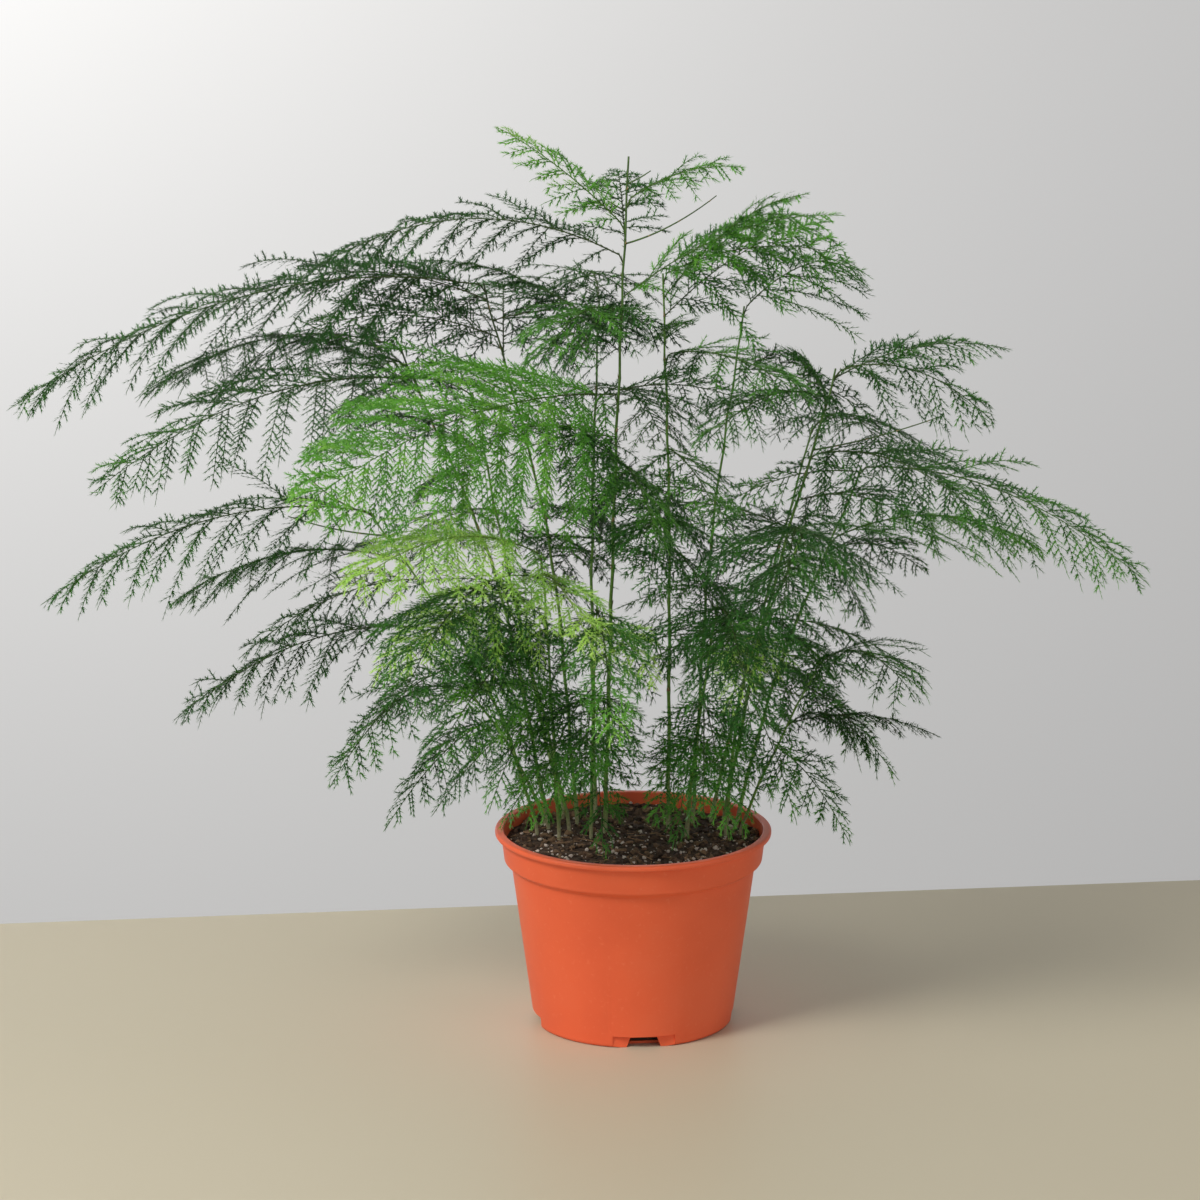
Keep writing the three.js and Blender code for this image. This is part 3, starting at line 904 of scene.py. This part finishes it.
# what is different about some fronds; their tone level is partly age and partly painted light and shade,
# lower for fronds in shade and higher for lit ones
frondChanges = {
    "frond_01": {"toneLevel": 0.66, "tipFresh": 0.1}, "frond_02": {"toneLevel": 0.28}, "frond_03": {"toneLevel": 0.5},
    "frond_04": {"toneLevel": 0.5}, "frond_05": {"toneLevel": 0.46}, "frond_06": {"toneLevel": 0.42},
    "frond_07": {"toneLevel": 0.24}, "frond_08": {"toneLevel": 0.28}, "frond_09": {"toneLevel": 0.45},
    "frond_10": {"toneLevel": 0.26}, "frond_11": {"toneLevel": 0.24}, "frond_12": {"toneLevel": 0.34},
    "frond_13": {"toneLevel": 0.3}, "frond_14": {"toneLevel": 0.3}, "frond_15": {"toneLevel": 0.24},
    "frond_18": {"toneLevel": 0.62, "sprigSpacing": 3.6 * mm, "spacing": 9 * mm}, "frond_19": {"toneLevel": 0.34},
    "frond_20": {"toneLevel": 0.86, "tipFresh": 0.15, "sprigSpacing": 3.8 * mm},
    "frond_21": {"toneLevel": 0.36, "tipFresh": 0.4}, "frond_24": {"toneLevel": 0.3}, "frond_25": {"toneLevel": 0.3},
    "frond_27": {"toneLevel": 0.34}, "frond_30": {"toneLevel": 0.46}, "frond_31": {"toneLevel": 0.56},
    **{"frond_%d" % number: {"sprigSpacing": 7 * mm} for number in range(34, 40)},
}


def makeFronds():
    total = 0
    for index, name in enumerate(frondNames):
        style = {**frondStyle, **frondChanges.get(name, {})}
        heap = newHeap()
        addFrond(heap, frondGuide(name), style, np.random.default_rng(100 + index))
        young = slotOf[name] == "new_growth"
        piece = heapToPiece("plume" + name[-3:], heap, newGrowth if young else foliage)
        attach(piece, "root")
        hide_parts(name)
        total += len(piece.data.polygons)
        print(name, "faces", len(piece.data.polygons))
    print("fronds grown:", total, "faces")


sprayRule = {
    "firstAt": 0.5,              # share of the cane's length below which it stays bare
    "gap": 56 * mm,
    "length": (66 * mm, 112 * mm),
    "slimness": (0.5, 0.72),     # width over length
    "rise": (-26, 6),            # degrees above level
    "arch": 0.1,
    "roll": 26,
    "inset": 6 * mm,             # tips stay this far inside the plant's own box
    "lowest": 0.14,              # metres; tips that would hang lower are mostly held up
    "lowestSet": 0.118,          # the same for the sprays placed one by one
    "sprigSpacing": 6.3 * mm,
}
# canes whose sprays are set apart: share where they start, gap between them, tone level, which is partly
# painted light and shade, lower where the sprays sit in shade
sprayChanges = {
    "cane_01": {"firstAt": 0.5, "toneLevel": 0.4}, "cane_02": {"firstAt": 0.42, "toneLevel": 0.36},
    "cane_03": {"firstAt": 0.5, "lastAt": 0.84, "gap": 28 * mm, "toneLevel": 0.3},
    "cane_04": {"firstAt": 0.55, "toneLevel": 0.22}, "cane_05": {"firstAt": 0.5, "toneLevel": 0.5},
    "cane_08": {"firstAt": 0.62, "toneLevel": 0.26}, "cane_13": {"firstAt": 0.4, "toneLevel": 0.34},
    "cane_14": {"firstAt": 0.45, "toneLevel": 0.36}, "cane_18": {"firstAt": 0.62, "toneLevel": 0.3},
    "cane_11": {"firstAt": 0.48, "toneLevel": 0.34},
}


# sprays placed one by one: cane, share up it, azimuth (-90 is the front), rise, length and width
# in mm, roll, tone level; the tone is partly painted light and shade, higher for lit sprays at the top and
# front, lower for shaded ones at the back
setSprays = [
    ("cane_03", 0.60, -128, -8, 170, 120, -52, 0.62), ("cane_05", 0.80, -100, -22, 120, 100, -40, 0.58),
    ("cane_03", 0.56, -78, -12, 120, 96, -40, 0.44), ("cane_11", 0.62, -96, -18, 120, 100, -30, 0.36),
    ("cane_11", 0.52, -70, -24, 120, 96, -24, 0.34), ("cane_14", 0.78, -118, -22, 110, 90, 10, 0.34),
    ("cane_15", 0.66, -104, -24, 120, 96, 0, 0.3), ("cane_02", 0.62, -112, -30, 110, 84, -16, 0.5),
    ("cane_01", 0.86, -140, -14, 120, 84, -20, 0.88), ("cane_01", 0.93, -70, -18, 90, 64, -10, 0.9),
    ("cane_02", 0.94, -60, -20, 70, 46, 0, 0.92), ("cane_14", 0.66, -110, -30, 64, 44, 0, 0.9),
    ("cane_13", 0.60, -78, -44, 90, 56, 0, 0.48), ("cane_13", 0.44, -104, -52, 84, 50, 10, 0.44),
    ("cane_14", 0.46, -60, -48, 86, 54, 0, 0.42), ("cane_02", 0.44, -84, -46, 84, 56, 0, 0.4),
    ("cane_01", 0.50, -120, -40, 86, 56, 0, 0.4), ("cane_05", 0.44, -150, -36, 86, 56, 0, 0.34),
    ("cane_08", 0.50, -140, -34, 90, 60, 0, 0.34), ("cane_18", 0.50, -50, -40, 80, 50, 0, 0.4),
    ("cane_16", 0.42, -30, -34, 92, 60, 0, 0.36), ("cane_14", 0.30, -84, -50, 60, 36, 0, 0.5),
    ("cane_05", 0.26, -130, -46, 64, 36, 0, 0.42), ("cane_12", 0.34, 60, -30, 84, 56, 0, 0.3),
    ("cane_09", 0.40, 110, -30, 96, 60, 0, 0.3), ("cane_17", 0.40, 40, -30, 92, 60, 0, 0.3),
    ("cane_11", 0.96, -40, 34, 120, 60, 20, 0.5), ("cane_11", 0.93, 20, 26, 110, 60, 30, 0.44),
    ("cane_03", 0.80, -10, 22, 130, 56, 20, 0.56), ("cane_03", 0.74, 168, 20, 120, 70, 10, 0.3),
    ("cane_04", 0.97, 176, 2, 130, 92, -26, 0.24), ("cane_04", 0.9, -158, 4, 120, 88, -34, 0.28),
    ("cane_06", 0.9, 150, 12, 110, 76, 10, 0.24), ("cane_15", 0.98, 10, 8, 100, 60, 10, 0.36),
]


def bladeGuide(joint, tip, width, arch, roll, stations=24):
    # the same curved, tapering sheet as a frond's, for a spray with no solid of its own
    steps = np.linspace(0, 1, stations + 1)
    chord = tip - joint
    along = unit(chord)
    side = unit(np.cross([0, 0, 1.0], along))
    side = side * math.cos(roll) + np.cross(along, side) * math.sin(roll)
    normal = unit(np.cross(along, side))
    swell = np.where(steps < 0.3, (steps / 0.3) ** 0.8, np.maximum((1 - steps) / 0.7, 0) ** 0.75)
    half = np.maximum(swell * width / 2, 1.2 * mm)
    lift = (4 * arch * steps * (1 - steps))[:, None]
    middle = joint + chord * steps[:, None] + np.array([0, 0, 1.0]) * lift
    edge = side * half[:, None]
    sag = normal * (0.2 * half)[:, None]
    return {
        "joint": joint, "length": np.linalg.norm(chord),
        "left": middle + edge - sag, "middle": middle, "right": middle - edge - sag, "half": half,
        "normal": normal, "steps": steps,
    }


def headingVector(azimuth, rise):
    flat = math.cos(rise)
    return np.array([math.cos(azimuth) * flat, math.sin(azimuth) * flat, math.sin(rise)])


def makeSprays():
    # shorter side sprays up the canes, between the long fronds
    total = 0
    low, high = np.array(cadBox[0]), np.array(cadBox[1])
    inset, lowest = sprayRule["inset"], sprayRule["lowest"]
    for index, name in enumerate(caneNames):
        rng = np.random.default_rng(400 + index)
        rule = {**sprayRule, **sprayChanges.get(name, {})}
        path = canePaths[name]
        metres = np.linspace(0, 1, len(path)) * np.linalg.norm(np.diff(path, axis=0), axis=1).sum()
        at, turn = rule["firstAt"] * metres[-1], rng.uniform(0, 360)
        stop = rule.get("lastAt", 0.99) * metres[-1]
        heap = newHeap()
        while at < stop:
            k = int(np.searchsorted(metres, at))
            length = rng.uniform(*rule["length"])
            rise = math.radians(rng.uniform(*rule["rise"]))
            azimuth = math.radians(turn)
            tip = np.clip(path[k] + headingVector(azimuth, rise) * length, low + inset, high - inset)
            if tip[2] < lowest:
                tip[2] = lowest + 0.2 * (tip[2] - lowest)
            guide = bladeGuide(path[k], tip, length * rng.uniform(*rule["slimness"]), rule["arch"] * length,
                               math.radians(rng.normal(0, rule["roll"])))
            toneLevel = rule.get("toneLevel", 0.3) + rng.uniform(-0.1, 0.12)
            style = {**frondStyle, "toneLevel": toneLevel, "rib": 0.42 * mm, "sprigSpacing": rule["sprigSpacing"]}
            addFrond(heap, guide, style, rng)
            at += rule["gap"] * rng.uniform(0.7, 1.3)
            turn += 137.5 + rng.uniform(-25, 25)
        for cane, share, heading, rise, long, wide, roll, toneLevel in setSprays:
            if cane != name:
                continue
            start = path[int(share * (len(path) - 1))]
            around, lift = math.radians(heading), math.radians(rise)
            tip = np.clip(start + headingVector(around, lift) * long * mm, low + inset, high - inset)
            tip[2] = max(tip[2], sprayRule["lowestSet"])
            guide = bladeGuide(start, tip, wide * mm, 0.1 * long * mm, math.radians(roll))
            style = {**frondStyle, "toneLevel": toneLevel, "rib": 0.42 * mm, "sprigSpacing": 5.2 * mm}
            addFrond(heap, guide, style, rng)
        piece = heapToPiece("sideSprays" + name[-3:], heap, foliage)
        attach(piece, "root")
        total += len(piece.data.polygons)
    print("side sprays:", total, "faces")


caneShape = {
    "sides": 8,
    "footInSoil": 7 * mm,
    "footShare": 0.96,           # of the radius that the frame gives the cane
    "topShare": 0.4,
    "taper": 0.8,
    "nodeSwell": 1.22,
    "nodeGap": (17 * mm, 34 * mm),
    "scaleLength": 3.4 * mm,
}
# how dark each cane is at its top, where it isn't plain green
caneTops = {"cane_03": 0.8, "cane_04": 0.95, "cane_06": 0.9, "cane_10": 0.85, "cane_15": 0.75}


def addTube(heap, path, radii, tones, sides):
    count = len(path)
    ahead, side, up = twistFrames(path, np.array([0.0, 1.0, 0.1]))
    turn = np.linspace(0, 2 * math.pi, sides, endpoint=False)
    ring = np.cos(turn)[None, :, None] * side[:, None] + np.sin(turn)[None, :, None] * up[:, None]
    places = (path[:, None] + ring * radii[:, None, None]).reshape(-1, 3)
    i = np.arange(count - 1)[:, None] * sides
    a = np.arange(sides)[None]
    b = (a + 1) % sides
    faces = [np.stack([i + a, i + b, i + sides + b], axis=2).reshape(-1, 3),
             np.stack([i + a, i + sides + b, i + sides + a], axis=2).reshape(-1, 3)]
    fan = np.arange(1, sides - 1)
    last = (count - 1) * sides
    faces.append(np.stack([0 * fan, fan + 1, fan], axis=1))
    faces.append(np.stack([last + 0 * fan, last + fan, last + fan + 1], axis=1))
    addToHeap(heap, places, np.concatenate(faces), np.repeat(tones, sides), 0.0)


def addScale(heap, place, ahead, outward, radius, length):
    # a small papery scale at a node, folded along its middle and pressed to the cane
    across = np.cross(ahead, outward)
    foot = place + outward * radius * 0.8
    tip = place + ahead * length + outward * (radius * 1.5)
    back = foot + ahead * length * 0.3 + outward * radius * 0.5
    places = np.array([foot - across * radius * 0.9, foot + across * radius * 0.9, back, tip,
                       foot - ahead * 0.3 * mm + outward * radius * 0.2])
    faces = [(0, 2, 3), (2, 1, 3), (0, 3, 1), (0, 4, 2), (4, 1, 2), (0, 1, 4)]
    addToHeap(heap, places, faces, 0.2, 1.0)


# bare twigs: cane, share up it, azimuth, rise, length in mm, how much it curls upwards
bareTwigs = [
    ("cane_03", 0.965, 10, 20, 14, 0.3), ("cane_03", 0.93, 185, 25, 11, 0.2),
    ("cane_03", 0.88, 8, 14, 52, 0.5), ("cane_15", 0.84, -14, 12, 74, 0.2),
    ("cane_06", 0.99, 186, 4, 60, 0.5), ("cane_07", 0.99, 190, 12, 40, 0.9),
    ("cane_07", 0.93, 176, 2, 54, 0.3), ("cane_04", 0.8, -150, 24, 34, 0.2),
]


def makeCanes():
    total = 0
    shape = caneShape
    for index, name in enumerate(caneNames):
        rng = np.random.default_rng(700 + index)
        path = canePaths[name]
        foot = path[0] - np.array([0, 0, shape["footInSoil"]])
        path = resample(np.concatenate([[foot], path]), 3 * mm)
        run = np.linspace(0, 1, len(path))
        metres = run * np.linalg.norm(np.diff(path, axis=0), axis=1).sum()
        full, slim = shape["footShare"], shape["footShare"] - shape["topShare"]
        radii = caneRadii[name] * (full - slim * run ** shape["taper"])
        top = caneTops.get(name, rng.uniform(0.45, 0.7))
        # straw at the foot, green above it, and as dark as this cane gets at the top
        marks = [0, 0.009, 0.022, 0.12, max(0.2, metres[-1])]
        tones = np.interp(metres, marks, [-0.05, 0.03, 0.34, 0.46, top])
        heap = newHeap()
        ahead, side, up = twistFrames(path, np.array([0.0, 1.0, 0.1]))
        at = 0.016
        nodes = []
        while at < metres[-1] - 0.006:
            nodes.append(int(np.searchsorted(metres, at)))
            at += rng.uniform(*shape["nodeGap"])
        bend = np.zeros_like(path)
        for count, k in enumerate(nodes):
            radii[k] *= shape["nodeSwell"]
            # the cane turns a little at every node, to and fro
            way = side[k] * (1 if count % 2 else -1) + up[k] * rng.normal() * 0.5
            spread = np.clip(1 - np.abs(metres - metres[k]) / 0.016, 0, 1)[:, None]
            bend += way * spread * rng.uniform(0.2, 0.5) * mm
        path = path + bend
        addTube(heap, path, radii, tones, shape["sides"])
        for k in nodes:
            angle = rng.uniform(0, 2 * math.pi)
            outward = side[k] * math.cos(angle) + up[k] * math.sin(angle)
            length = shape["scaleLength"] * rng.uniform(0.6, 1.1)
            addScale(heap, path[k], ahead[k], outward, radii[k], length)
        for cane, share, heading, rise, long, curl in bareTwigs:
            if cane != name:
                continue
            start = path[int(share * (len(path) - 1))]
            around, lift = math.radians(heading), math.radians(rise)
            reach = headingVector(around, lift)
            steps = np.linspace(0, 1, max(4, long // 4))[:, None]
            twig = start + long * mm * (reach * steps + np.array([0, 0, curl]) * steps ** 2 * 0.5)
            addTube(heap, twig, np.linspace(0.55, 0.28, len(twig)) * mm, np.full(len(twig), 0.8), 6)
            twigAhead, twigSide, twigUp = twistFrames(twig, np.array([0.0, 1.0, 0.1]))
            for k in range(1, len(twig) - 1, 2):
                flip = 1 if k % 4 == 1 else -1
                addScale(heap, twig[k], twigAhead[k], twigUp[k] * flip, 0.42 * mm, 2.2 * mm)
        piece = heapToPiece("wiryCane" + name[-3:], heap, caneSkin, smooth=True)
        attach(piece, "root")
        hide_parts(name)
        total += len(piece.data.polygons)
    print("canes:", total, "faces")


makeSoil()
makeCanes()
makeFronds()
makeSprays()
